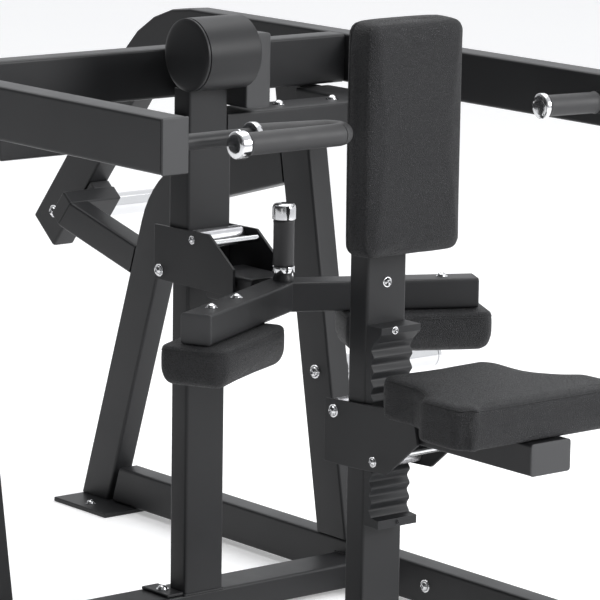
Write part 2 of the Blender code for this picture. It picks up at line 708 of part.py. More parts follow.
make_base()
make_side_frames()
make_upper_beams()
make_centre_post()
make_rests()
make_storage_horns()
make_seat_post()
make_lever_arms()
make_pivot()
make_weight_horns()
make_lever_caps()
make_left_handle()
make_right_handle()
make_thigh_guide()
make_thigh_arms()
make_thigh_handle()
make_seat()
centre_origin()
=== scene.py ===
"""Looks for the plate-loaded seated lever machine: finishes, sewn pads, grips, horns, fasteners and plugs.

Metres, +Z up. The user sits at the -Y end and the weights hang at the +Y end. Every place is worked out from
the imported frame's boxes.
"""

import json
import math

import bmesh
import bpy
from mathutils import Matrix, Vector, noise
from mathutils.geometry import tessellate_polygon


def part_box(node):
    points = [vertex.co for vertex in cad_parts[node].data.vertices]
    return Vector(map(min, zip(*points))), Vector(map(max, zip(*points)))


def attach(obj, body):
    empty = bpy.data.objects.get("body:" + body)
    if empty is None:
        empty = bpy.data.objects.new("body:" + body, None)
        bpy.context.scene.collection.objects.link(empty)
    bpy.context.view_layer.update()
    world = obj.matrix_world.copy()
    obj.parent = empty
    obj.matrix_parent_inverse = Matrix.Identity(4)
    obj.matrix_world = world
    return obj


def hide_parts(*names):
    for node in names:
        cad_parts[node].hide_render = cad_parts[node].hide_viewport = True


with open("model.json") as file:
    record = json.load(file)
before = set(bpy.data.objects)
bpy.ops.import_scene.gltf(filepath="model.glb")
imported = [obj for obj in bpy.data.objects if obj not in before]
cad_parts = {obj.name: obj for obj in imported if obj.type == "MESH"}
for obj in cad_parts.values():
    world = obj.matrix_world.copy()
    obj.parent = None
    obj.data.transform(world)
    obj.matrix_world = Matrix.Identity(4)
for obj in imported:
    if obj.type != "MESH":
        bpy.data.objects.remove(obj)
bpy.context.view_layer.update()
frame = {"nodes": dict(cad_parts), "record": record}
NODES = frame["nodes"]

SIDES = {"left": -1, "right": 1}
X_AXIS = Vector((1, 0, 0))
Y_AXIS = Vector((0, 1, 0))
Z_AXIS = Vector((0, 0, 1))

# Camera
CAMERA_PLACE = (-4.151, -5.538, 1.927)
CAMERA_YAW = math.radians(39.03)
CAMERA_PITCH = math.radians(10.85)
CAMERA_ROLL = math.radians(0.86)
CAMERA_LENS = 224
CAMERA_SENSOR = 36

# Studio
FLOOR_HALF_SIZE = 60
FLOOR_GLOW = 0.30
SURROUND_COLOR = (0.97, 0.98, 1.0, 1)
SURROUND_LEFT = (-0.8, 0.06)
SURROUND_RIGHT = (0.6, 1.15)
# Name, place, target, size and power
SOFT_BOXES = (
    ("overhead", (0.6, 0.6, 4.6), (0, 0, 0.5), 4.0, 120),
    ("front_right", (2.2, -5.2, 3.0), (0, -0.3, 0.6), 2.2, 260),
    ("front_left", (-4.5, -3.0, 1.6), (0, 0, 0.6), 2.0, 6),
)

# Stock
WELD_DISTANCE = 0.00002
EDGE_ROUND = 0.0011
EDGE_ANGLE = math.radians(28)
TUBE_CORNER = 0.006
PLUG_THICKNESS = 0.003
BEAD_RADIUS = 0.0024
BEAD_STEP = 0.0022
CAP_GAP = 0.0003

# Bolt heads
BOLT_RADIUS = 0.0095
SMALL_BOLT_RADIUS = 0.0065
ARM_BOLT_RADIUS = 0.011
BEAM_BOLT_RADIUS = 0.010
PLATE_BOLT_RADIUS = 0.0085
POST_BOLT_RADIUS = 0.0075
RACK_BOLT_RADIUS = 0.0055
RACK_SCREW_RADIUS = 0.0042
TIP_SCREW_RADIUS = 0.003
UPPER_BEAM_BOLTS_X = (0.200, 0.330)
BASE_BEAM_BOLT_FRONT = 0.772
BASE_BEAM_BOLT_REAR = 0.248
FOOT_BOLT_INSET = 0.030
CHEVRON_BOLT_REACH = 0.052
POST_BOLT_RISE = 0.072
RACK_BOLT_X = -0.014
RACK_BOLT_DROP = 0.006
RACK_SCREW_RISE = 0.0075
CROSS_PIN_RADIUS = 0.0065
CROSS_PIN_DROP = 0.019
CROSS_PIN_BACK = 0.036

# Grips and horns
GRIP_RADIUS = 0.0205
CHROME_RADIUS = 0.0235
GRIP_LIP = 0.0016
GRIP_LIP_PLACE = 0.004
GRIP_LIP_WIDTH = 0.0022
GRIP_THINNING = 0.0012
BAR_SLEEVE_RADIUS = 0.0142
RING_WIDTH = 0.012
RING_BACK = 0.0125
LEFT_TIP_LENGTH = 0.022
RIGHT_TIP_LENGTH = 0.012
TIP_SCREW_BACK = 0.011
HANDLE_BOSS = ((0, 0), (0.024, 0), (0.024, 0.002), (0.020, 0.0045), (0.0145, 0.0065), (0, 0.0065))
LOOP_LEAD = 0.014
LOOP_STRAIGHTS = (0.06, 0.12)
LOOP_CORD_RADIUS = 0.021
LOOP_BEND_RADIUS = 0.0245
LOOP_START_TURN = math.radians(78)
LOOP_SWEEP = math.radians(168)
LOOP_STEPS = 14
GRIP_STEPS = 60
RIGHT_TIP_INSET = 0.003
THIGH_COLLAR = ((0, 0), (0.0185, 0), (0.0185, 0.006), (0.016, 0.009), (0.016, 0.0145), (0, 0.0145))
THIGH_RING_LIFT = 0.0148
THIGH_RING_BORE = 0.010
THIGH_RING_RADIUS = 0.0205
THIGH_GRIP_LIFT = 0.027
THIGH_GRIP_RADIUS = 0.0190
THIGH_CAP_RADIUS = 0.0212
THIGH_CAP_HEIGHT = 0.030
HORN_FLANGE_RADIUS = 0.042
HORN_FLANGE_THICKNESS = 0.010
HUB_CAP_RADIUS = 0.0668
HUB_CAP_SOFT = 0.0035
HUB_CAP_STEPS = 8

# Pads
CHEVRON_SPAN = 0.3185
CHEVRON_FALL = 0.165
CHEVRON_WIDTH = 0.0585
THIGH_PAD_TURN = math.atan2(CHEVRON_FALL, CHEVRON_SPAN)
BLOCK_CUTS = 23
VOXEL = 0.005
PAD_PRESSURE = 4
PAD_FRAMES = 20
SEAM_DEPTH = 0.0016
SEAM_WIDTH = 0.0035
SEAM_SPACING = 0.003
SEAM_STAND_OFF = 0.002
WELT_RADIUS = 0.0011
CHEST_INSET = Vector((0.001, 0.001, 0.001))
CHEST_CORNER = 0.022
CHEST_FRONT_ROUND = 0.014
CHEST_BACK_ROUND = 0.005
CHEST_REST = 0.004
CHEST_SEAM = 0.012
CHEST_SWELL = 0.0022
THIGH_INSET = Vector((0.0012, 0.0012, 0.0008))
THIGH_CORNER = 0.021
THIGH_BELLY_ROUND = 0.036
THIGH_TOP_ROUND = 0.004
THIGH_REST = 0.003
THIGH_SEAM = 0.010
THIGH_SWELL = 0.0020
SEAT_POINT_SPACING = 0.006
SEAT_REST = 0.004
SEAT_SEAM = 0.004
SEAT_SEAM_INSET = 0.005
SEAT_SWELL = 0.0018


# ---------------------------------------------------------------- materials


def new_material(name):
    """A material, its node tree and its shader."""
    material = bpy.data.materials.new(name)
    material.use_nodes = True
    return material, material.node_tree, material.node_tree.nodes["Principled BSDF"]


def node(tree, kind, inputs=(), **settings):
    """A new node with its settings. An input is a value, or a socket to link from."""
    made = tree.nodes.new(kind)
    for key, value in settings.items():
        setattr(made, key, value)
    for key, value in dict(inputs).items():
        if isinstance(value, bpy.types.NodeSocket):
            tree.links.new(value, made.inputs[key])
        else:
            made.inputs[key].default_value = value
    return made


def place_of(tree, stretch=(1, 1, 1)):
    """The object's own coordinates in metres, stretched along its axes."""
    place = node(tree, "ShaderNodeTexCoord").outputs["Object"]
    return node(tree, "ShaderNodeMapping", {"Vector": place, "Scale": stretch}).outputs["Vector"]


def noise_of(tree, place, scale, detail=2.0, roughness=0.5):
    settings = {"Vector": place, "Scale": scale, "Detail": detail, "Roughness": roughness}
    return node(tree, "ShaderNodeTexNoise", settings).outputs["Fac"]


def ranged(tree, value, low, high, to_low, to_high):
    """The value moved from one range to another, and kept within it."""
    settings = {"Value": value, "From Min": low, "From Max": high, "To Min": to_low, "To Max": to_high}
    return node(tree, "ShaderNodeMapRange", settings).outputs["Result"]


def mixed(tree, factor, first, second):
    """A colour between the first and the second, each a colour or a socket."""
    made = node(tree, "ShaderNodeMix", data_type="RGBA")
    tree.links.new(factor, made.inputs["Factor"])
    for socket, value in ((made.inputs[6], first), (made.inputs[7], second)):
        if isinstance(value, bpy.types.NodeSocket):
            tree.links.new(value, socket)
        else:
            socket.default_value = (*value, 1)
    return made.outputs[2]


def bump(tree, shader, height, strength, distance, under=None):
    """Gives the shader this relief, over the one under it when there is one."""
    inputs = {"Height": height, "Strength": strength, "Distance": distance}
    if under:
        inputs["Normal"] = under
    made = node(tree, "ShaderNodeBump", inputs).outputs["Normal"]
    tree.links.new(made, shader.inputs["Normal"])
    return made


def edge_highlight_mask(tree, radius):
    """How far the surface turns within the radius: 0 on a flat face, towards 1 on an edge. It masks the
    painted edge highlight.
    """
    soft = node(tree, "ShaderNodeBevel", {"Radius": radius}, samples=4).outputs["Normal"]
    true = node(tree, "ShaderNodeNewGeometry").outputs["Normal"]
    alike = node(tree, "ShaderNodeVectorMath", operation="DOT_PRODUCT")
    tree.links.new(soft, alike.inputs[0])
    tree.links.new(true, alike.inputs[1])
    return ranged(tree, alike.outputs["Value"], 0.985, 0.90, 0, 1)


def powder_coat(name, color, dust_and_highlight_color, roughness, peel):
    """Satin powder coat: orange peel, faint clouding, pale dust specks and a painted highlight on the edges,
    in patches.
    """
    material, tree, shader = new_material(name)
    place = place_of(tree)
    cloud = noise_of(tree, place, 7, 4, 0.6)
    peel_height = noise_of(tree, place, 620, 2, 0.45)
    grain = noise_of(tree, place, 2600, 1, 0.5)
    deep = tuple(channel * 0.86 for channel in color)
    pale = tuple(channel * 1.12 for channel in color)
    body = mixed(tree, cloud, deep, pale)
    dusted = mixed(tree, ranged(tree, grain, 0.66, 0.80, 0, 0.35), body, dust_and_highlight_color)
    # Painted highlight: the edges are coloured lighter, in patches, where rounded corners would catch the
    # light.
    edge_highlight_amount = node(tree, "ShaderNodeMath", operation="MULTIPLY")
    tree.links.new(edge_highlight_mask(tree, 0.0016), edge_highlight_amount.inputs[0])
    tree.links.new(ranged(tree, noise_of(tree, place, 45, 5, 0.7), 0.35, 0.75, 0.15, 0.85), edge_highlight_amount.inputs[1])
    tree.links.new(mixed(tree, edge_highlight_amount.outputs["Value"], dusted, dust_and_highlight_color), shader.inputs["Base Color"])
    satin = ranged(tree, cloud, 0.3, 0.7, roughness - 0.04, roughness + 0.05)
    tree.links.new(satin, shader.inputs["Roughness"])
    shader.inputs["Specular IOR Level"].default_value = 0.26
    first = bump(tree, shader, peel_height, peel, 0.00025)
    bump(tree, shader, grain, peel * 0.5, 0.00008, first)
    return material


def chrome(name, color, roughness, streak):
    """Polished plating with hairline polishing marks along the piece's own axis."""
    material, tree, shader = new_material(name)
    marks = noise_of(tree, place_of(tree, (1, 1, streak)), 900, 3, 0.6)
    haze = noise_of(tree, place_of(tree), 22, 3, 0.5)
    shade = tuple(channel * 0.92 for channel in color)
    tree.links.new(mixed(tree, haze, color, shade), shader.inputs["Base Color"])
    tree.links.new(ranged(tree, marks, 0.3, 0.8, roughness, roughness + 0.07), shader.inputs["Roughness"])
    shader.inputs["Metallic"].default_value = 1
    bump(tree, shader, marks, 0.03, 0.0001)
    return material


def turned_steel(name, color, roughness):
    """Machined steel with fine turning rings across X."""
    material, tree, shader = new_material(name)
    place = place_of(tree)
    settings = {"Vector": place, "Scale": 380, "Distortion": 0.6, "Detail": 2}
    rings = node(tree, "ShaderNodeTexWave", settings, bands_direction="X").outputs["Fac"]
    stain = noise_of(tree, place, 60, 4, 0.6)
    shade = tuple(channel * 0.7 for channel in color)
    tree.links.new(mixed(tree, stain, shade, color), shader.inputs["Base Color"])
    tree.links.new(ranged(tree, rings, 0, 1, roughness, roughness + 0.12), shader.inputs["Roughness"])
    shader.inputs["Metallic"].default_value = 1
    bump(tree, shader, rings, 0.12, 0.0001)
    return material


def rubber(name, color, roughness, scale, depth):
    """Matte moulded rubber with a fine stipple and a little dust in it."""
    material, tree, shader = new_material(name)
    place = place_of(tree)
    settings = {"Vector": place, "Scale": scale}
    stipple = node(tree, "ShaderNodeTexVoronoi", settings, feature="SMOOTH_F1").outputs["Distance"]
    dust = noise_of(tree, place, 30, 5, 0.65)
    pale = tuple(channel * 1.5 for channel in color)
    tree.links.new(mixed(tree, dust, color, pale), shader.inputs["Base Color"])
    matte = ranged(tree, dust, 0.3, 0.7, roughness - 0.05, roughness + 0.06)
    tree.links.new(matte, shader.inputs["Roughness"])
    shader.inputs["Specular IOR Level"].default_value = 0.45
    bump(tree, shader, stipple, 0.5, depth)
    return material


def leatherette(name, color, crease_shade_color, grain_scale, depth):
    """Grained vinyl: warped cells with painted shade in the creases, finer pores inside them and slow colour
    change.
    """
    material, tree, shader = new_material(name)
    place = place_of(tree)
    warp_settings = {"Vector": place, "Scale": 130, "Detail": 2}
    warp = node(tree, "ShaderNodeTexNoise", warp_settings).outputs["Color"]
    shift = node(tree, "ShaderNodeVectorMath", operation="MULTIPLY_ADD")
    tree.links.new(warp, shift.inputs[0])
    shift.inputs[1].default_value = (0.0022, 0.0022, 0.0022)
    tree.links.new(place, shift.inputs[2])
    cell_settings = {"Vector": shift.outputs["Vector"], "Scale": grain_scale}
    cells = node(tree, "ShaderNodeTexVoronoi", cell_settings, feature="DISTANCE_TO_EDGE").outputs["Distance"]
    plump = ranged(tree, cells, 0, 0.32, 0, 1)
    pores = noise_of(tree, place, grain_scale * 3.2, 3, 0.6)
    tone = noise_of(tree, place, 9, 4, 0.55)
    pale = tuple(channel * 1.35 for channel in color)
    body = mixed(tree, tone, color, pale)
    # Painted shade: the creases between grain cells are coloured darker.
    tree.links.new(mixed(tree, plump, crease_shade_color, body), shader.inputs["Base Color"])
    tree.links.new(ranged(tree, plump, 0, 1, 0.66, 0.44), shader.inputs["Roughness"])
    shader.inputs["Specular IOR Level"].default_value = 0.36
    first = bump(tree, shader, plump, 0.85, depth)
    bump(tree, shader, pores, 0.25, depth * 0.3, first)
    return material


def pale_floor(name):
    """A white sweep with a slow drift in tone and a faint glow of its own."""
    material, tree, shader = new_material(name)
    drift = noise_of(tree, place_of(tree), 0.8, 4, 0.5)
    tree.links.new(mixed(tree, drift, (0.86, 0.86, 0.87), (0.89, 0.89, 0.89)), shader.inputs["Base Color"])
    shader.inputs["Roughness"].default_value = 0.62
    shader.inputs["Specular IOR Level"].default_value = 0.25
    shader.inputs["Emission Color"].default_value = (1, 1, 1, 1)
    shader.inputs["Emission Strength"].default_value = FLOOR_GLOW
    return material


# The lighter colours are for pale dust specks and for the painted highlight on edges.
BLACK_PAINT = (0.0175, 0.0178, 0.0190)
BLACK_PAINT_DUST_AND_HIGHLIGHT = (0.085, 0.086, 0.09)
RACK_PAINT = (0.0180, 0.0185, 0.0200)
RACK_PAINT_DUST_AND_HIGHLIGHT = (0.10, 0.10, 0.105)
CHARCOAL = (0.022, 0.0225, 0.0245)
CHARCOAL_CREASE_SHADE = (0.005, 0.005, 0.006)
LOOKS = {
    "frame_paint": powder_coat("frame_powder_coat", BLACK_PAINT, BLACK_PAINT_DUST_AND_HIGHLIGHT, 0.43, 0.30),
    "rack_paint": powder_coat("rack_powder_coat", RACK_PAINT, RACK_PAINT_DUST_AND_HIGHLIGHT, 0.46, 0.42),
    "chrome": chrome("polished_chrome", (0.66, 0.665, 0.675), 0.08, 0.08),
    "bright_steel": turned_steel("turned_steel", (0.58, 0.58, 0.60), 0.24),
    "grip_rubber": rubber("grip_rubber", (0.020, 0.020, 0.021), 0.56, 900, 0.00025),
    "end_caps": rubber("moulded_caps", (0.024, 0.0245, 0.026), 0.50, 1500, 0.00012),
    "upholstery": leatherette("charcoal_leatherette", CHARCOAL, CHARCOAL_CREASE_SHADE, 400, 0.0016),
}
# The welt cord is coloured darker than the cover, as painted shade of the seam's crease. Its grain creases
# also carry painted shade.
WELT_LOOK = leatherette("welt_leatherette", (0.012, 0.012, 0.013), (0.006, 0.006, 0.007), 900, 0.0003)


# ---------------------------------------------------------------- mesh tools


def piece(name, mesh, body, slot, look=None):
    """A named piece with its finish, riding on a body."""
    obj = bpy.data.objects.new(name, mesh)
    bpy.context.scene.collection.objects.link(obj)
    mesh.materials.clear()
    mesh.materials.append(look or LOOKS[slot])
    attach(obj, body)
    return obj


def mesh_from(name, work, sharp=40):
    """A smooth-shaded mesh, with creases where faces meet at over the sharp angle in degrees."""
    bmesh.ops.recalc_face_normals(work, faces=work.faces)
    mesh = bpy.data.meshes.new(name)
    work.to_mesh(mesh)
    work.free()
    mesh.shade_smooth()
    mesh.set_sharp_from_angle(angle=math.radians(sharp))
    return mesh


def facing(point, axis, side=None):
    """A matrix that puts the local +Z on the axis, and the local X on side when it is given."""
    up = Vector(axis).normalized()
    if side is None:
        turn = Z_AXIS.rotation_difference(up).to_matrix()
    else:
        across = Vector(side).normalized()
        turn = Matrix((across, up.cross(across), up)).transposed()
    return Matrix.Translation(point) @ turn.to_4x4()


def hexagon_share(angle):
    """The radius of a unit hexagon, measured across its corners, at this angle."""
    within = (angle % (math.pi / 3)) - math.pi / 6
    return math.cos(math.pi / 6) / math.cos(within)


def skin(work, rings, closed=False):
    """Quads from each ring to the next, and from the last back to the first when closed."""
    count = len(rings[0])
    for near, far in zip(rings, rings[1:] + rings[:1] if closed else rings[1:]):
        for step in range(count):
            ahead = (step + 1) % count
            work.faces.new((near[step], near[ahead], far[ahead], far[step]))


def ring_round(work, middle, side, up, radius, segments):
    """A ring of points round the middle, in the plane of side and up."""
    made = []
    for step in range(segments):
        angle = step / segments * 2 * math.pi
        made.append(work.verts.new(middle + (side * math.cos(angle) + up * math.sin(angle)) * radius))
    return made


def spline_point(before, start, end, after, t):
    """A Catmull-Rom point between start and end, where t runs from 0 to 1."""
    return 0.5 * (
        2 * start
        + (end - before) * t
        + (2 * before - 5 * start + 4 * end - after) * t * t
        + (3 * start - before - 3 * end + after) * t * t * t
    )


def add_turned(work, profile, place, segments=32):
    """A closed turned body. A profile point is (radius, height), or (radius, height, "hex") on a hexagon."""
    rings = []
    for radius, height, *shape in profile:
        if radius == 0:
            rings.append([work.verts.new(place @ Vector((0, 0, height)))])
            continue
        ring = []
        for step in range(segments):
            angle = step / segments * 2 * math.pi
            reach = radius * (hexagon_share(angle) if shape else 1)
            point = Vector((reach * math.cos(angle), reach * math.sin(angle), height))
            ring.append(work.verts.new(place @ point))
        rings.append(ring)
    for near, far in zip(rings, rings[1:]):
        for step in range(segments):
            ahead = (step + 1) % segments
            corners = [near[step % len(near)], near[ahead % len(near)]]
            corners += [far[ahead % len(far)], far[step % len(far)]]
            work.faces.new(list(dict.fromkeys(corners)))


def turned(name, profile, point, axis, body, slot, segments=32, sharp=40):
    work = bmesh.new()
    add_turned(work, profile, facing(point, axis), segments)
    return piece(name, mesh_from(name, work, sharp), body, slot)


def button_profile(radius):
    """A washer under a domed head with a hexagonal socket."""
    washer = radius * 0.16
    crown = radius * 0.72
    steps = 5
    points = [(0, 0), (radius * 1.22, 0), (radius * 1.28, washer * 0.4), (radius * 1.22, washer)]
    for step in range(steps + 1):
        turn = step / steps * math.radians(62)
        points.append((radius * math.cos(turn), washer + crown * math.sin(turn)))
    top = points[-1][1]
    points.append((radius * 0.44, top + radius * 0.02))
    points.append((radius * 0.40, top - radius * 0.02, "hex"))
    points.append((radius * 0.38, top - radius * 0.34, "hex"))
    points.append((0, top - radius * 0.42))
    return points


def bolts(name, places, axis, body, radius=BOLT_RADIUS):
    """One piece holding a socket button head at each place."""
    work = bmesh.new()
    for point in places:
        add_turned(work, button_profile(radius), facing(point, axis), 24)
    return piece(name, mesh_from(name, work, 32), body, "chrome")


def rounded_rectangle(width, height, radius, steps=4):
    """Anticlockwise points round a rectangle with round corners."""
    points = []
    for quarter in range(4):
        turn = quarter * math.pi / 2
        sign_x = 1 if quarter in (0, 3) else -1
        sign_y = 1 if quarter in (0, 1) else -1
        for step in range(steps + 1):
            angle = turn + step / steps * math.pi / 2
            across = sign_x * (width / 2 - radius) + radius * math.cos(angle)
            along = sign_y * (height / 2 - radius) + radius * math.sin(angle)
            points.append(Vector((across, along)))
    return points


def plug(name, point, axis, side, width, height, body):
    """A moulded plug over a tube's end, with a softened rim and a slightly crowned face."""
    levels = (
        (0.0, 0.0),
        (0.0, PLUG_THICKNESS * 0.55),
        (0.0012, PLUG_THICKNESS * 0.9),
        (0.0030, PLUG_THICKNESS),
        (0.0100, PLUG_THICKNESS * 1.04),
    )
    place = facing(point, axis, side)
    work = bmesh.new()
    rings = []
    for inset, lift in levels:
        radius = max(TUBE_CORNER - inset, 0.0015)
        outline = rounded_rectangle(width - 2 * inset, height - 2 * inset, radius)
        rings.append([work.verts.new(place @ Vector((p.x, p.y, lift))) for p in outline])
    skin(work, rings)
    work.faces.new(rings[0])
    work.faces.new(rings[-1])
    return piece(name, mesh_from(name, work, 30), body, "end_caps")


def smooth_path(points, steps):
    """Catmull-Rom points through the given ones."""
    points = [Vector(point) for point in points]
    padded = [2 * points[0] - points[1], *points, 2 * points[-1] - points[-2]]
    made = []
    for before, start, end, after in zip(padded, padded[1:], padded[2:], padded[3:]):
        made += [spline_point(before, start, end, after, step / steps) for step in range(steps)]
    return [*made, points[-1]]


def add_swept(work, path, radii, segments=28):
    """A round body along a flat path in a level plane, with closed ends."""
    rings = []
    for index, point in enumerate(path):
        run = (path[min(index + 1, len(path) - 1)] - path[max(index - 1, 0)]).normalized()
        side = Z_AXIS.cross(run).normalized()
        rings.append(ring_round(work, point, side, Z_AXIS, radii[index], segments))
    skin(work, rings)
    work.faces.new(rings[0])
    work.faces.new(rings[-1])


def grip_radii(path, radius):
    """A grip's radius along its path, with a rolled lip at each end."""
    lengths = [0.0]
    for a, b in zip(path, path[1:]):
        lengths.append(lengths[-1] + (b - a).length)
    radii = []
    for reach in lengths:
        ahead = min(reach, lengths[-1] - reach)
        roll = GRIP_LIP * math.exp(-(((ahead - GRIP_LIP_PLACE) / GRIP_LIP_WIDTH) ** 2))
        shoulder = GRIP_LIP_WIDTH * max(0.0, 1 - ahead / GRIP_LIP_WIDTH)
        radii.append(radius - GRIP_THINNING + roll - shoulder)
    return radii


def beaded(name, loop, body):
    """A weld bead along the loop: overlapping ripples on a round section."""
    work = bmesh.new()
    closed = [Vector(point) for point in loop]
    path = []
    for a, b in zip(closed, closed[1:] + closed[:1]):
        count = max(2, int((b - a).length / BEAD_STEP))
        path += [a.lerp(b, step / count) for step in range(count)]
    middle = sum(path, Vector()) / len(path)
    rings = []
    for index, point in enumerate(path):
        run = (path[(index + 1) % len(path)] - path[index - 1]).normalized()
        out = (point - middle - run * (point - middle).dot(run)).normalized()
        up = run.cross(out)
        swell = BEAD_RADIUS * (1 + 0.16 * math.sin(index * 2.1) + 0.10 * noise.noise(point * 90))
        rings.append(ring_round(work, point, out, up, swell, 8))
    skin(work, rings, closed=True)
    return piece(name, mesh_from(name, work, 80), body, "frame_paint")


# ---------------------------------------------------------------- carried-over nodes


def finish_nodes():
    """Gives each CAD node its slot's finish and softens its hard edges."""
    slots = {entry["node"]: entry["material_slot"] for entry in frame["record"]["subparts"]}
    for name, obj in NODES.items():
        obj.data.materials.clear()
        obj.data.materials.append(LOOKS[slots[name]])
        obj.data.shade_smooth()
        obj.modifiers.new("weld", "WELD").merge_threshold = WELD_DISTANCE
        rounding = obj.modifiers.new("edges", "BEVEL")
        rounding.width = EDGE_ROUND
        rounding.segments = 2
        rounding.limit_method = "ANGLE"
        rounding.angle_limit = EDGE_ANGLE
        rounding.use_clamp_overlap = True
        obj.modifiers.new("normals", "WEIGHTED_NORMAL").keep_sharp = False


# ---------------------------------------------------------------- camera, light and floor


def make_camera():
    data = bpy.data.cameras.new("camera")
    data.lens = CAMERA_LENS
    data.sensor_width = CAMERA_SENSOR
    data.clip_end = 200
    camera = bpy.data.objects.new("camera", data)
    bpy.context.scene.collection.objects.link(camera)
    ahead = Vector(
        (
            math.sin(CAMERA_YAW) * math.cos(CAMERA_PITCH),
            math.cos(CAMERA_YAW) * math.cos(CAMERA_PITCH),
            -math.sin(CAMERA_PITCH),
        )
    )
    level = Vector((math.cos(CAMERA_YAW), -math.sin(CAMERA_YAW), 0))
    above = level.cross(ahead)
    right = level * math.cos(CAMERA_ROLL) + above * math.sin(CAMERA_ROLL)
    up = above * math.cos(CAMERA_ROLL) - level * math.sin(CAMERA_ROLL)
    turn = Matrix((right, up, -ahead)).transposed().to_4x4()
    camera.matrix_world = Matrix.Translation(CAMERA_PLACE) @ turn
    bpy.context.scene.camera = camera


def area_light(name, place, target, size, power):
    data = bpy.data.lights.new(name, "AREA")
    data.shape = "SQUARE"
    data.size = size
    data.energy = power
    lamp = bpy.data.objects.new(name, data)
    bpy.context.scene.collection.objects.link(lamp)
    lamp.location = place
    lamp.rotation_euler = (Vector(target) - Vector(place)).to_track_quat("-Z", "Y").to_euler()


def make_studio():
    """A pale floor, a pale surround that is dimmer on the left, and three soft boxes."""
    bpy.context.scene.view_settings.view_transform = "Standard"
    work = bmesh.new()
    bmesh.ops.create_grid(work, x_segments=2, y_segments=2, size=FLOOR_HALF_SIZE)
    floor = bpy.data.objects.new("studio_floor", mesh_from("studio_floor", work))
    floor.data.materials.append(pale_floor("pale_floor"))
    bpy.context.scene.collection.objects.link(floor)
    world = bpy.data.worlds.new("studio")
    bpy.context.scene.world = world
    world.use_nodes = True
    tree = world.node_tree
    around = node(tree, "ShaderNodeTexCoord").outputs["Generated"]
    split = node(tree, "ShaderNodeSeparateXYZ", {"Vector": around})
    (left, dim), (right, bright) = SURROUND_LEFT, SURROUND_RIGHT
    level = ranged(tree, split.outputs["X"], left, right, dim, bright)
    tree.links.new(level, tree.nodes["Background"].inputs["Strength"])
    tree.nodes["Background"].inputs["Color"].default_value = SURROUND_COLOR
    for settings in SOFT_BOXES:
        area_light(*settings)


# ---------------------------------------------------------------- pads


def rounded_block(half, spread, flat_axis, near_round, far_round):
    """A box whose edges are elliptical: spread across the flat axis, near_round and far_round along it.

    near_round is at the flat axis's negative end and far_round at its positive end.
    """
    work = bmesh.new()
    bmesh.ops.create_cube(work, size=2)
    bmesh.ops.subdivide_edges(work, edges=work.edges[:], cuts=BLOCK_CUTS, use_grid_fill=True)
    for vert in work.verts:
        inner = Vector()
        offset = Vector()
        for axis in range(3):
            reach = spread
            if axis == flat_axis:
                reach = near_round if vert.co[axis] < 0 else far_round
            value = vert.co[axis] * half[axis]
            inner[axis] = max(-(half[axis] - reach), min(half[axis] - reach, value))
            offset[axis] = (value - inner[axis]) / reach
        if offset.length > 0:
            offset.normalize()
        for axis in range(3):
            reach = spread
            if axis == flat_axis:
                reach = near_round if vert.co[axis] < 0 else far_round
            offset[axis] *= reach
        vert.co = inner + offset
    return work


def applied(obj):
    """The object's mesh with its modifiers applied."""
    graph = bpy.context.evaluated_depsgraph_get()
    mesh = bpy.data.meshes.new_from_object(obj.evaluated_get(graph))
    obj.modifiers.clear()
    old = obj.data
    obj.data = mesh
    bpy.data.meshes.remove(old)


def inflate(obj, rests, cap):
    """Swells the closed mesh as stuffed cloth. Points where rests(co) is true stay where they are."""
    remesh = obj.modifiers.new("remesh", "REMESH")
    remesh.mode = "VOXEL"
    remesh.voxel_size = VOXEL
    even = obj.modifiers.new("even", "SMOOTH")
    even.factor = 0.5
    even.iterations = 2
    applied(obj)
    start = [vert.co.copy() for vert in obj.data.vertices]
    group = obj.vertex_groups.new(name="rests")
    group.add([index for index, co in enumerate(start) if rests(co)], 1, "REPLACE")
    cloth = obj.modifiers.new("cloth", "CLOTH")
    cloth.settings.quality = 5
    cloth.settings.mass = 0.3
    cloth.settings.tension_stiffness = 25
    cloth.settings.compression_stiffness = 25
    cloth.settings.shear_stiffness = 12
    cloth.settings.bending_stiffness = 6
    cloth.settings.use_pressure = True
    cloth.settings.uniform_pressure_force = PAD_PRESSURE
    cloth.settings.effector_weights.gravity = 0
    cloth.settings.vertex_group_mass = "rests"
    scene = bpy.context.scene
    scene.frame_start = 1
    scene.frame_end = PAD_FRAMES
    for number in range(1, PAD_FRAMES + 1):
        scene.frame_set(number)
    applied(obj)
    scene.frame_set(1)
    for vert, place in zip(obj.data.vertices, start):
        move = vert.co - place
        if move.length > cap:
            vert.co = place + move.normalized() * cap
    obj.vertex_groups.clear()


def pinch(obj, line):
    """Pulls the surface in along the line of points, as a seam does."""
    near = {}
    cell = SEAM_WIDTH * 2
    for point in line:
        near.setdefault(tuple(int(c // cell) for c in point), []).append(point)
    for vert in obj.data.vertices:
        key = tuple(int(c // cell) for c in vert.co)
        found = [
            point
            for dx in (-1, 0, 1)
            for dy in (-1, 0, 1)
            for dz in (-1, 0, 1)
            for point in near.get((key[0] + dx, key[1] + dy, key[2] + dz), ())
        ]
        if found:
            distance = min((vert.co - point).length for point in found)
            vert.co -= vert.normal * SEAM_DEPTH * math.exp(-((distance / SEAM_WIDTH) ** 2))


def closest_line(obj, guide):
    """The guide's points moved onto the object's surface, and the surface's normals there."""
    points, normals = [], []
    for point in guide:
        _, place, normal, _ = obj.closest_point_on_mesh(point)
        points.append(place.copy())
        normals.append(normal.copy())
    return points, normals


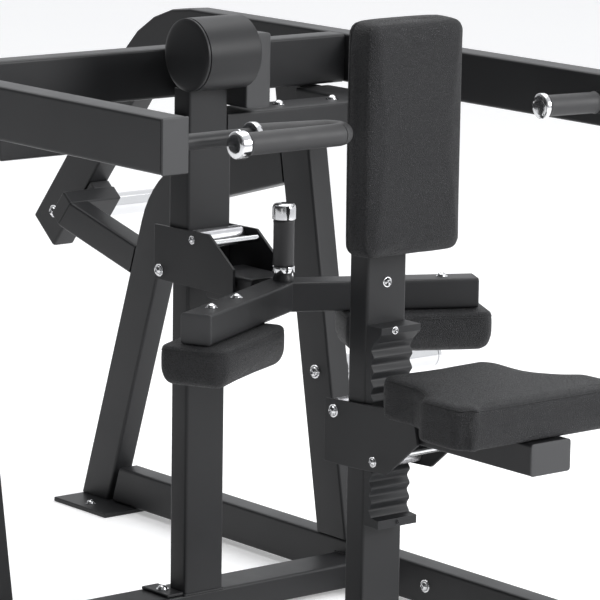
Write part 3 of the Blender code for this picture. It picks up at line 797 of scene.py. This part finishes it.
def welt(name, points, normals, body, sink):
    """A thin sewn cord that lies in the seam."""
    work = bmesh.new()
    rings = []
    count = len(points)
    for index, point in enumerate(points):
        run = (points[(index + 1) % count] - points[index - 1]).normalized()
        up = (normals[index] - run * normals[index].dot(run)).normalized()
        side = run.cross(up)
        # The cord's darker material paints the shade of the seam's crease.
        rings.append(ring_round(work, point - up * sink, side, up, WELT_RADIUS, 8))
    skin(work, rings, closed=True)
    return piece(name, mesh_from(name, work, 80), body, "upholstery", WELT_LOOK)


def finish_pad(obj, name, node_name, body, seam):
    """Adds the seam, the finish and one subdivision to a simulated pad."""
    points, normals = closest_line(obj, seam)
    pinch(obj, points)
    welt(f"{name}_welt", points, normals, body, SEAM_DEPTH * 0.75)
    obj.name = name
    obj.data.shade_smooth()
    obj.data.materials.clear()
    obj.data.materials.append(LOOKS["upholstery"])
    finer = obj.modifiers.new("finer", "SUBSURF")
    finer.levels = finer.render_levels = 1
    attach(obj, body)
    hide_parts(node_name)


def linked(name, mesh):
    """A plain object in the scene."""
    obj = bpy.data.objects.new(name, mesh)
    bpy.context.scene.collection.objects.link(obj)
    return obj


def ring_line(half_x, half_y, radius):
    """Evenly spaced points round a rounded rectangle."""
    corners = rounded_rectangle(2 * half_x, 2 * half_y, radius, 8)
    points = []
    for a, b in zip(corners, corners[1:] + corners[:1]):
        count = max(1, int((b - a).length / SEAM_SPACING))
        points += [a.lerp(b, step / count) for step in range(count)]
    return points


def make_chest_pad():
    low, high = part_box("chest_pad")
    middle = (low + high) / 2
    half = (high - low) / 2 - CHEST_INSET
    work = rounded_block(half, CHEST_CORNER, 1, CHEST_FRONT_ROUND, CHEST_BACK_ROUND)
    obj = linked("chest_pad_cover", mesh_from("chest_pad_cover", work, 80))
    inflate(obj, lambda co: co.y > half.y - CHEST_REST, CHEST_SWELL)
    obj.data.transform(Matrix.Translation(middle))
    seam_y = high.y - CHEST_SEAM
    line = ring_line(half.x + SEAM_STAND_OFF, half.z + SEAM_STAND_OFF, CHEST_CORNER)
    seam = [Vector((middle.x + p.x, seam_y, middle.z + p.y)) for p in line]
    finish_pad(obj, "chest_pad_cover", "chest_pad", "frame", seam)


def turned_box(name, turn):
    """A node's middle, and half of its size along the turned axes."""
    local = [turn.inverted() @ vert.co for vert in NODES[name].data.vertices]
    low = Vector([min(co[axis] for co in local) for axis in range(3)])
    high = Vector([max(co[axis] for co in local) for axis in range(3)])
    return turn @ ((low + high) / 2), (high - low) / 2


def make_thigh_pads():
    for side, sign in SIDES.items():
        turn = Matrix.Rotation(-sign * THIGH_PAD_TURN, 4, "Z")
        middle, half = turned_box(f"thigh_pad_{side}", turn)
        half -= THIGH_INSET
        work = rounded_block(half, THIGH_CORNER, 2, THIGH_BELLY_ROUND, THIGH_TOP_ROUND)
        obj = linked(f"thigh_pad_{side}_cover", mesh_from(f"thigh_pad_{side}_cover", work, 80))
        inflate(obj, lambda co: co.z > half.z - THIGH_REST, THIGH_SWELL)
        place = Matrix.Translation(middle) @ turn
        obj.data.transform(place)
        line = ring_line(half.x, half.y, THIGH_CORNER)
        seam = [place @ Vector((p.x, p.y, half.z - THIGH_SEAM)) for p in line]
        finish_pad(obj, f"thigh_pad_{side}_cover", f"thigh_pad_{side}", "thigh_carriage", seam)


def seat_loop():
    """The seat's outline from its CAD node's upper edge, anticlockwise and evenly spaced."""
    low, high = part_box("seat_pad")
    top = [vert.co for vert in NODES["seat_pad"].data.vertices if vert.co.z > high.z - 0.001]
    rim = {(round(co.x, 5), round(co.y, 5)) for co in top}
    middle = Vector(((low.x + high.x) / 2, (low.y + high.y) / 2 + 0.05))
    corners = sorted((Vector(p) for p in rim), key=lambda p: math.atan2(p.y - middle.y, p.x - middle.x))
    smooth = []
    count = len(corners)
    for index in range(count):
        before, start, end, after = (corners[(index + k) % count] for k in (-1, 0, 1, 2))
        steps = max(1, int((end - start).length / SEAT_POINT_SPACING))
        smooth += [spline_point(before, start, end, after, step / steps) for step in range(steps)]
    return smooth


def inset_loop(loop, amount):
    """The anticlockwise outline moved inwards."""
    made = []
    count = len(loop)
    for index, point in enumerate(loop):
        run = (loop[(index + 1) % count] - loop[index - 1]).normalized()
        made.append(point + Vector((-run.y, run.x)) * amount)
    return made


def make_seat_pad():
    low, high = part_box("seat_pad")
    loop = seat_loop()
    # How far in from the outline, and how high
    levels = (
        (0.010, low.z + 0.001),
        (0.0045, low.z + 0.003),
        (0.002, low.z + 0.010),
        (0.001, low.z + 0.030),
        (0.001, high.z - 0.016),
        (0.003, high.z - 0.007),
        (0.009, high.z - 0.003),
        (0.020, high.z - 0.002),
    )
    work = bmesh.new()
    rings = []
    for inset, z in levels:
        rings.append([work.verts.new((*p, z)) for p in inset_loop(loop, inset)])
    skin(work, rings)
    for ring in (rings[0], rings[-1]):
        flat = [vert.co for vert in ring]
        for triangle in tessellate_polygon([flat]):
            work.faces.new([ring[i] for i in triangle])
    obj = linked("seat_pad_cover", mesh_from("seat_pad_cover", work, 80))
    inflate(obj, lambda co: co.z < low.z + SEAT_REST, SEAT_SWELL)
    seam = [Vector((*p, high.z - SEAT_SEAM)) for p in inset_loop(loop, SEAT_SEAM_INSET)]
    finish_pad(obj, "seat_pad_cover", "seat_pad", "seat_carriage", seam)


# ---------------------------------------------------------------- grips and chrome


def sleeve_profile(inner, outer, length):
    """A polished collar with softened rims."""
    soft = min(0.0015, length / 5)
    return [
        (inner, 0),
        (outer - soft, 0),
        (outer - soft * 0.3, soft * 0.3),
        (outer, soft),
        (outer, length - soft),
        (outer - soft * 0.3, length - soft * 0.3),
        (outer - soft, length),
        (inner, length),
        (inner, 0),
    ]


def cap_profile(radius, length):
    """A polished end cap with a crowned face."""
    return [
        (0, 0),
        (radius - 0.001, 0),
        (radius, 0.001),
        (radius, length * 0.72),
        (radius - 0.0008, length * 0.84),
        (radius - 0.0030, length * 0.94),
        (radius * 0.6, length * 0.985),
        (0, length),
    ]


def make_left_grip():
    low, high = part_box("loop_grip_left")
    bar_low, bar_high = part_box("handle_bar_left")
    z = (bar_low.z + bar_high.z) / 2
    far_y = (bar_low.y + bar_high.y) / 2
    near_y = low.y + LOOP_CORD_RADIUS
    bend = Vector((high.x - LOOP_CORD_RADIUS - LOOP_BEND_RADIUS, near_y + LOOP_BEND_RADIUS))
    path = [(bar_high.x, far_y, z), (bar_high.x + LOOP_LEAD, far_y, z)]
    for step in range(LOOP_STEPS + 1):
        angle = LOOP_START_TURN - LOOP_SWEEP * step / LOOP_STEPS
        across = LOOP_BEND_RADIUS * math.cos(angle)
        along = LOOP_BEND_RADIUS * math.sin(angle)
        path.append((bend.x + across, bend.y + along, z))
    path += [(bend.x - reach, near_y, z) for reach in LOOP_STRAIGHTS]
    path.append((low.x, near_y, z))
    line = smooth_path(path, 5)
    ends = [line[0].lerp(line[1], k / 6) for k in range(6)]
    tips = [line[-2].lerp(line[-1], k / 12) for k in range(1, 13)]
    line = ends + line[1:-1] + tips
    work = bmesh.new()
    add_swept(work, line, grip_radii(line, GRIP_RADIUS))
    obj = piece("loop_grip_left_cover", mesh_from("loop_grip_left_cover", work, 60), "lever", "grip_rubber")
    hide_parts("loop_grip_left")
    ring = sleeve_profile(BAR_SLEEVE_RADIUS, CHROME_RADIUS, RING_WIDTH)
    turned("grip_ring_left", ring, (bar_high.x - RING_BACK, far_y, z), X_AXIS, "lever", "chrome", 40)
    tip = cap_profile(CHROME_RADIUS, LEFT_TIP_LENGTH)
    turned("grip_tip_left", tip, (low.x - CAP_GAP, near_y, z), -X_AXIS, "lever", "chrome", 40)
    screw = button_profile(TIP_SCREW_RADIUS)
    place = (low.x - TIP_SCREW_BACK, near_y, z + CHROME_RADIUS)
    turned("grip_tip_screw_left", screw, place, Z_AXIS, "lever", "chrome", 16)
    turned("handle_boss_left", HANDLE_BOSS, (bar_low.x, far_y, z), X_AXIS, "lever", "frame_paint")


def make_right_grip():
    low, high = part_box("grip_right")
    z = (low.z + high.z) / 2
    tip = Vector((low.x + RIGHT_TIP_INSET, high.y - GRIP_RADIUS, z))
    root = Vector((high.x - RIGHT_TIP_INSET, low.y + GRIP_RADIUS, z))
    run = (root - tip).normalized()
    line = [tip.lerp(root, step / GRIP_STEPS) for step in range(GRIP_STEPS + 1)]
    work = bmesh.new()
    add_swept(work, line, grip_radii(line, GRIP_RADIUS))
    obj = piece("grip_right_cover", mesh_from("grip_right_cover", work, 60), "lever", "grip_rubber")
    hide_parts("grip_right")
    cap = cap_profile(CHROME_RADIUS, RIGHT_TIP_LENGTH)
    turned("grip_tip_right", cap, tip, -run, "lever", "chrome", 40)
    arm_low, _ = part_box("lever_arm_right")
    reach = arm_low.x - root.x
    stub = [(0, 0), (0.015, 0), (0.015, reach - 0.003), (0.022, reach - 0.001), (0, reach - 0.001)]
    turned("handle_boss_right", stub, root, X_AXIS, "lever", "frame_paint")


def make_thigh_grip():
    low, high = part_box("thigh_handle")
    x = (low.x + high.x) / 2
    y = (low.y + high.y) / 2
    turned("thigh_grip_collar", THIGH_COLLAR, (x, y, low.z), Z_AXIS, "thigh_carriage", "frame_paint")
    ring = sleeve_profile(THIGH_RING_BORE, THIGH_RING_RADIUS, RING_WIDTH)
    place = (x, y, low.z + THIGH_RING_LIFT)
    turned("thigh_grip_ring", ring, place, Z_AXIS, "thigh_carriage", "chrome", 40)
    foot = low.z + THIGH_GRIP_LIFT
    top = high.z - THIGH_CAP_HEIGHT
    radius = THIGH_GRIP_RADIUS
    height = top - foot
    sleeve = [
        (0, 0),
        (radius - 0.002, 0),
        (radius, 0.0015),
        (radius + 0.0006, 0.004),
        (radius, 0.007),
        (radius, height - 0.007),
        (radius + 0.0006, height - 0.004),
        (radius, height - 0.0015),
        (radius - 0.002, height),
        (0, height),
    ]
    obj = turned("thigh_grip_sleeve", sleeve, (x, y, foot), Z_AXIS, "thigh_carriage", "grip_rubber", 40)
    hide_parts("thigh_handle")
    cap = cap_profile(THIGH_CAP_RADIUS, THIGH_CAP_HEIGHT - CAP_GAP)
    turned("thigh_grip_cap", cap, (x, y, top + CAP_GAP), Z_AXIS, "thigh_carriage", "chrome", 40)


def horn_profile(radius, length):
    """A chromed horn: a flange at its root, a long sleeve, a groove near its end and a domed cap."""
    return [
        (0, 0),
        (HORN_FLANGE_RADIUS - 0.001, 0),
        (HORN_FLANGE_RADIUS, 0.001),
        (HORN_FLANGE_RADIUS, HORN_FLANGE_THICKNESS - 0.001),
        (HORN_FLANGE_RADIUS - 0.001, HORN_FLANGE_THICKNESS),
        (radius + 0.002, HORN_FLANGE_THICKNESS),
        (radius, HORN_FLANGE_THICKNESS + 0.002),
        (radius, length - 0.012),
        (radius - 0.0015, length - 0.0115),
        (radius - 0.0015, length - 0.0095),
        (radius, length - 0.009),
        (radius, length - 0.004),
        (radius - 0.0012, length - 0.0012),
        (radius - 0.004, length),
        (0, length),
    ]


def make_horns():
    for kind, body in (("weight_horn", "lever"), ("storage_horn", "frame")):
        for side, sign in SIDES.items():
            low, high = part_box(f"{kind}_{side}")
            root_x = low.x if sign > 0 else high.x
            root = Vector((root_x, (low.y + high.y) / 2, (low.z + high.z) / 2))
            profile = horn_profile((high.z - low.z) / 2, high.x - low.x)
            obj = turned(f"{kind}_{side}_sleeve", profile, root, X_AXIS * sign, body, "chrome", 48)
            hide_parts(f"{kind}_{side}")


def make_hub_cap():
    low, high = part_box("hub_cap")
    y = (low.y + high.y) / 2
    z = (low.z + high.z) / 2
    rim = HUB_CAP_RADIUS
    height = high.x - low.x
    profile = [(0, 0), (rim - 0.001, 0), (rim, 0.001), (rim, height * 0.45), (rim - 0.0012, height * 0.58)]
    profile.append((rim - HUB_CAP_SOFT, height * 0.64))
    for step in range(1, HUB_CAP_STEPS + 1):
        turn = step / HUB_CAP_STEPS * math.pi / 2
        reach = (rim - HUB_CAP_SOFT) * math.cos(turn)
        profile.append((reach if step < HUB_CAP_STEPS else 0, height * (0.64 + 0.34 * math.sin(turn))))
    obj = turned("hub_cap_cover", profile, (high.x, y, z), -X_AXIS, "frame", "frame_paint", 64)
    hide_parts("hub_cap")


# ---------------------------------------------------------------- fasteners, plugs and welds


def make_frame_bolts():
    for side, sign in SIDES.items():
        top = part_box(f"upper_beam_{side}")[1].z
        y = sum(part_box("base_crossbar"), Vector()).y / 2
        spots = [(sign * x, y, top) for x in UPPER_BEAM_BOLTS_X]
        bolts(f"upper_beam_bolts_{side}", spots, Z_AXIS, "frame")
        leg_low, leg_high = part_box(f"front_leg_{side}")
        inner = leg_high.x if sign < 0 else leg_low.x
        horn_low, horn_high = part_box(f"storage_horn_{side}")
        place = (inner, (horn_low.y + horn_high.y) / 2, (horn_low.z + horn_high.z) / 2)
        bolts(f"front_leg_bolt_{side}", [place], -X_AXIS * sign, "frame", ARM_BOLT_RADIUS)
        beam_low, beam_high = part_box(f"base_beam_{side}")
        inner = beam_high.x if sign < 0 else beam_low.x
        middle = (beam_low.z + beam_high.z) / 2
        rows = (beam_low.y + BASE_BEAM_BOLT_FRONT, beam_high.y - BASE_BEAM_BOLT_REAR)
        spots = [(inner, y, middle) for y in rows]
        bolts(f"base_beam_bolts_{side}", spots, -X_AXIS * sign, "frame", BEAM_BOLT_RADIUS)
        for end in ("front", "rear"):
            plate_low, plate_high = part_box(f"{end}_foot_plate_{side}")
            y = (plate_low.y + plate_high.y) / 2
            reach = (plate_high.x - plate_low.x) / 2 - FOOT_BOLT_INSET
            middle = (plate_low.x + plate_high.x) / 2
            places = [(middle + k * reach, y, plate_high.z) for k in (-1, 1)]
            bolts(f"{end}_foot_bolts_{side}", places, Z_AXIS, "frame", PLATE_BOLT_RADIUS)
    flange_low, flange_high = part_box("post_flange")
    place = ((flange_low.x + flange_high.x) / 2, (flange_low.y + flange_high.y) / 2, flange_high.z)
    bolts("post_flange_bolt", [place], Z_AXIS, "frame")


def make_seat_post_bolts():
    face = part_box("seat_post")[0].y
    rack_low, rack_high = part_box("seat_rack")
    spots = [(0, face, rack_high.z + POST_BOLT_RISE)]
    bolts("seat_post_bolt", spots, -Y_AXIS, "frame", POST_BOLT_RADIUS)
    spots = [(RACK_BOLT_X, rack_low.y, rack_high.z - RACK_BOLT_DROP)]
    bolts("seat_rack_bolt_upper", spots, -Y_AXIS, "frame", RACK_BOLT_RADIUS)
    work = bmesh.new()
    place = facing((0, rack_low.y, rack_low.z + RACK_SCREW_RISE), -Y_AXIS)
    add_turned(work, button_profile(RACK_SCREW_RADIUS), place, 20)
    piece("seat_rack_bolt_lower", mesh_from("seat_rack_bolt_lower", work, 32), "frame", "rack_paint")


def chevron_run(side):
    """The direction of one arm of the chevron, outwards and towards the user."""
    return Vector((SIDES[side] * math.cos(THIGH_PAD_TURN), -math.sin(THIGH_PAD_TURN), 0))


def make_thigh_bolts():
    front = sum(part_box("thigh_front_roller"), Vector()) / 2
    rear = sum(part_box("thigh_rear_roller"), Vector()) / 2
    chevron_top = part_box("thigh_chevron")[1].z
    for side, sign in SIDES.items():
        low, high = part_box(f"thigh_plate_{side}")
        face = low.x if sign < 0 else high.x
        out = X_AXIS * sign
        bolts(f"thigh_plate_bolt_{side}", [(face, rear.y, rear.z)], out, "thigh_carriage")
        spots = [(face, front.y, front.z)]
        bolts(f"thigh_plate_screw_{side}", spots, out, "thigh_carriage", SMALL_BOLT_RADIUS)
        pad = sum(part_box(f"thigh_pad_{side}"), Vector()) / 2
        run = chevron_run(side)
        middle = Vector((pad.x, pad.y, chevron_top))
        spots = [middle + run * reach for reach in (-CHEVRON_BOLT_REACH, CHEVRON_BOLT_REACH)]
        bolts(f"thigh_chevron_bolts_{side}", spots, Z_AXIS, "thigh_carriage", PLATE_BOLT_RADIUS)


def make_seat_bolts():
    rear = sum(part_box("seat_rear_roller"), Vector()) / 2
    pin = sum(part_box("seat_front_pin"), Vector()) / 2
    for side, sign in SIDES.items():
        low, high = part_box(f"seat_plate_{side}")
        face = low.x if sign < 0 else high.x
        out = X_AXIS * sign
        bolts(f"seat_plate_bolt_{side}", [(face, rear.y, rear.z)], out, "seat_carriage")
        spots = [(face, pin.y, pin.z)]
        bolts(f"seat_plate_screw_{side}", spots, out, "seat_carriage", POST_BOLT_RADIUS)
    low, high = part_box("seat_plate_left")
    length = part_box("seat_plate_right")[0].x - high.x - 2 * CAP_GAP
    radius = CROSS_PIN_RADIUS
    soft = radius - 0.0005
    profile = [(0, 0), (soft, 0), (radius, 0.0005), (radius, length - 0.0005), (soft, length), (0, length)]
    place = (high.x + CAP_GAP, low.y + CROSS_PIN_BACK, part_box("seat_tube")[0].z - CROSS_PIN_DROP)
    turned("seat_cross_pin", profile, place, X_AXIS, "seat_carriage", "chrome")


def make_lever_bolts():
    for side, sign in SIDES.items():
        arm_low, arm_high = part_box(f"lever_arm_{side}")
        inner = arm_high.x if sign < 0 else arm_low.x
        horn = sum(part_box(f"weight_horn_{side}"), Vector()) / 2
        spots = [(inner, horn.y, horn.z)]
        bolts(f"weight_arm_bolt_{side}", spots, -X_AXIS * sign, "lever", ARM_BOLT_RADIUS)


def front_plug(name, node_name, body):
    """A plug over a node's whole front face."""
    low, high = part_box(node_name)
    place = ((low.x + high.x) / 2, low.y, (low.z + high.z) / 2)
    plug(name, place, -Y_AXIS, X_AXIS, high.x - low.x, high.z - low.z, body)


def make_plugs():
    for side in SIDES:
        front_plug(f"base_beam_plug_{side}", f"base_beam_{side}", "frame")
    front_plug("seat_tube_plug", "seat_tube", "seat_carriage")
    low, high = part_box("seat_post")
    place = (0, (low.y + high.y) / 2, high.z)
    plug("seat_post_plug", place, Z_AXIS, X_AXIS, high.x - low.x, high.y - low.y, "frame")
    front_plug("lever_bracket_front", "lever_bracket", "lever")
    low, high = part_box("thigh_chevron")
    half = CHEVRON_WIDTH / 2
    for side, sign in SIDES.items():
        along = chevron_run(side)
        across = along.cross(Z_AXIS)
        tip_x = high.x if sign > 0 else low.x
        x = tip_x - sign * half * math.sin(THIGH_PAD_TURN)
        y = low.y + half * math.cos(THIGH_PAD_TURN)
        end = Vector((x, y, (low.z + high.z) / 2))
        height = high.z - low.z
        plug(f"thigh_chevron_plug_{side}", end, along, across, CHEVRON_WIDTH, height, "thigh_carriage")


def make_welds():
    """Beads where the crossbars meet the side beams and where the posts stand on the crossbars."""
    for bar in ("base_crossbar", "front_crossbar"):
        low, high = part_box(bar)
        for side, sign in SIDES.items():
            x = high.x if sign > 0 else low.x
            loop = [(x, low.y, low.z), (x, high.y, low.z), (x, high.y, high.z), (x, low.y, high.z)]
            beaded(f"{bar}_weld_{side}", loop, "frame")
    for post in ("centre_post", "seat_post"):
        low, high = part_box(post)
        z = low.z
        loop = [(low.x, low.y, z), (high.x, low.y, z), (high.x, high.y, z), (low.x, high.y, z)]
        beaded(f"{post}_weld", loop, "frame")


make_camera()
make_studio()
finish_nodes()
make_chest_pad()
make_thigh_pads()
make_seat_pad()
make_left_grip()
make_right_grip()
make_thigh_grip()
make_horns()
make_hub_cap()
make_frame_bolts()
make_seat_post_bolts()
make_thigh_bolts()
make_seat_bolts()
make_lever_bolts()
make_plugs()
make_welds()
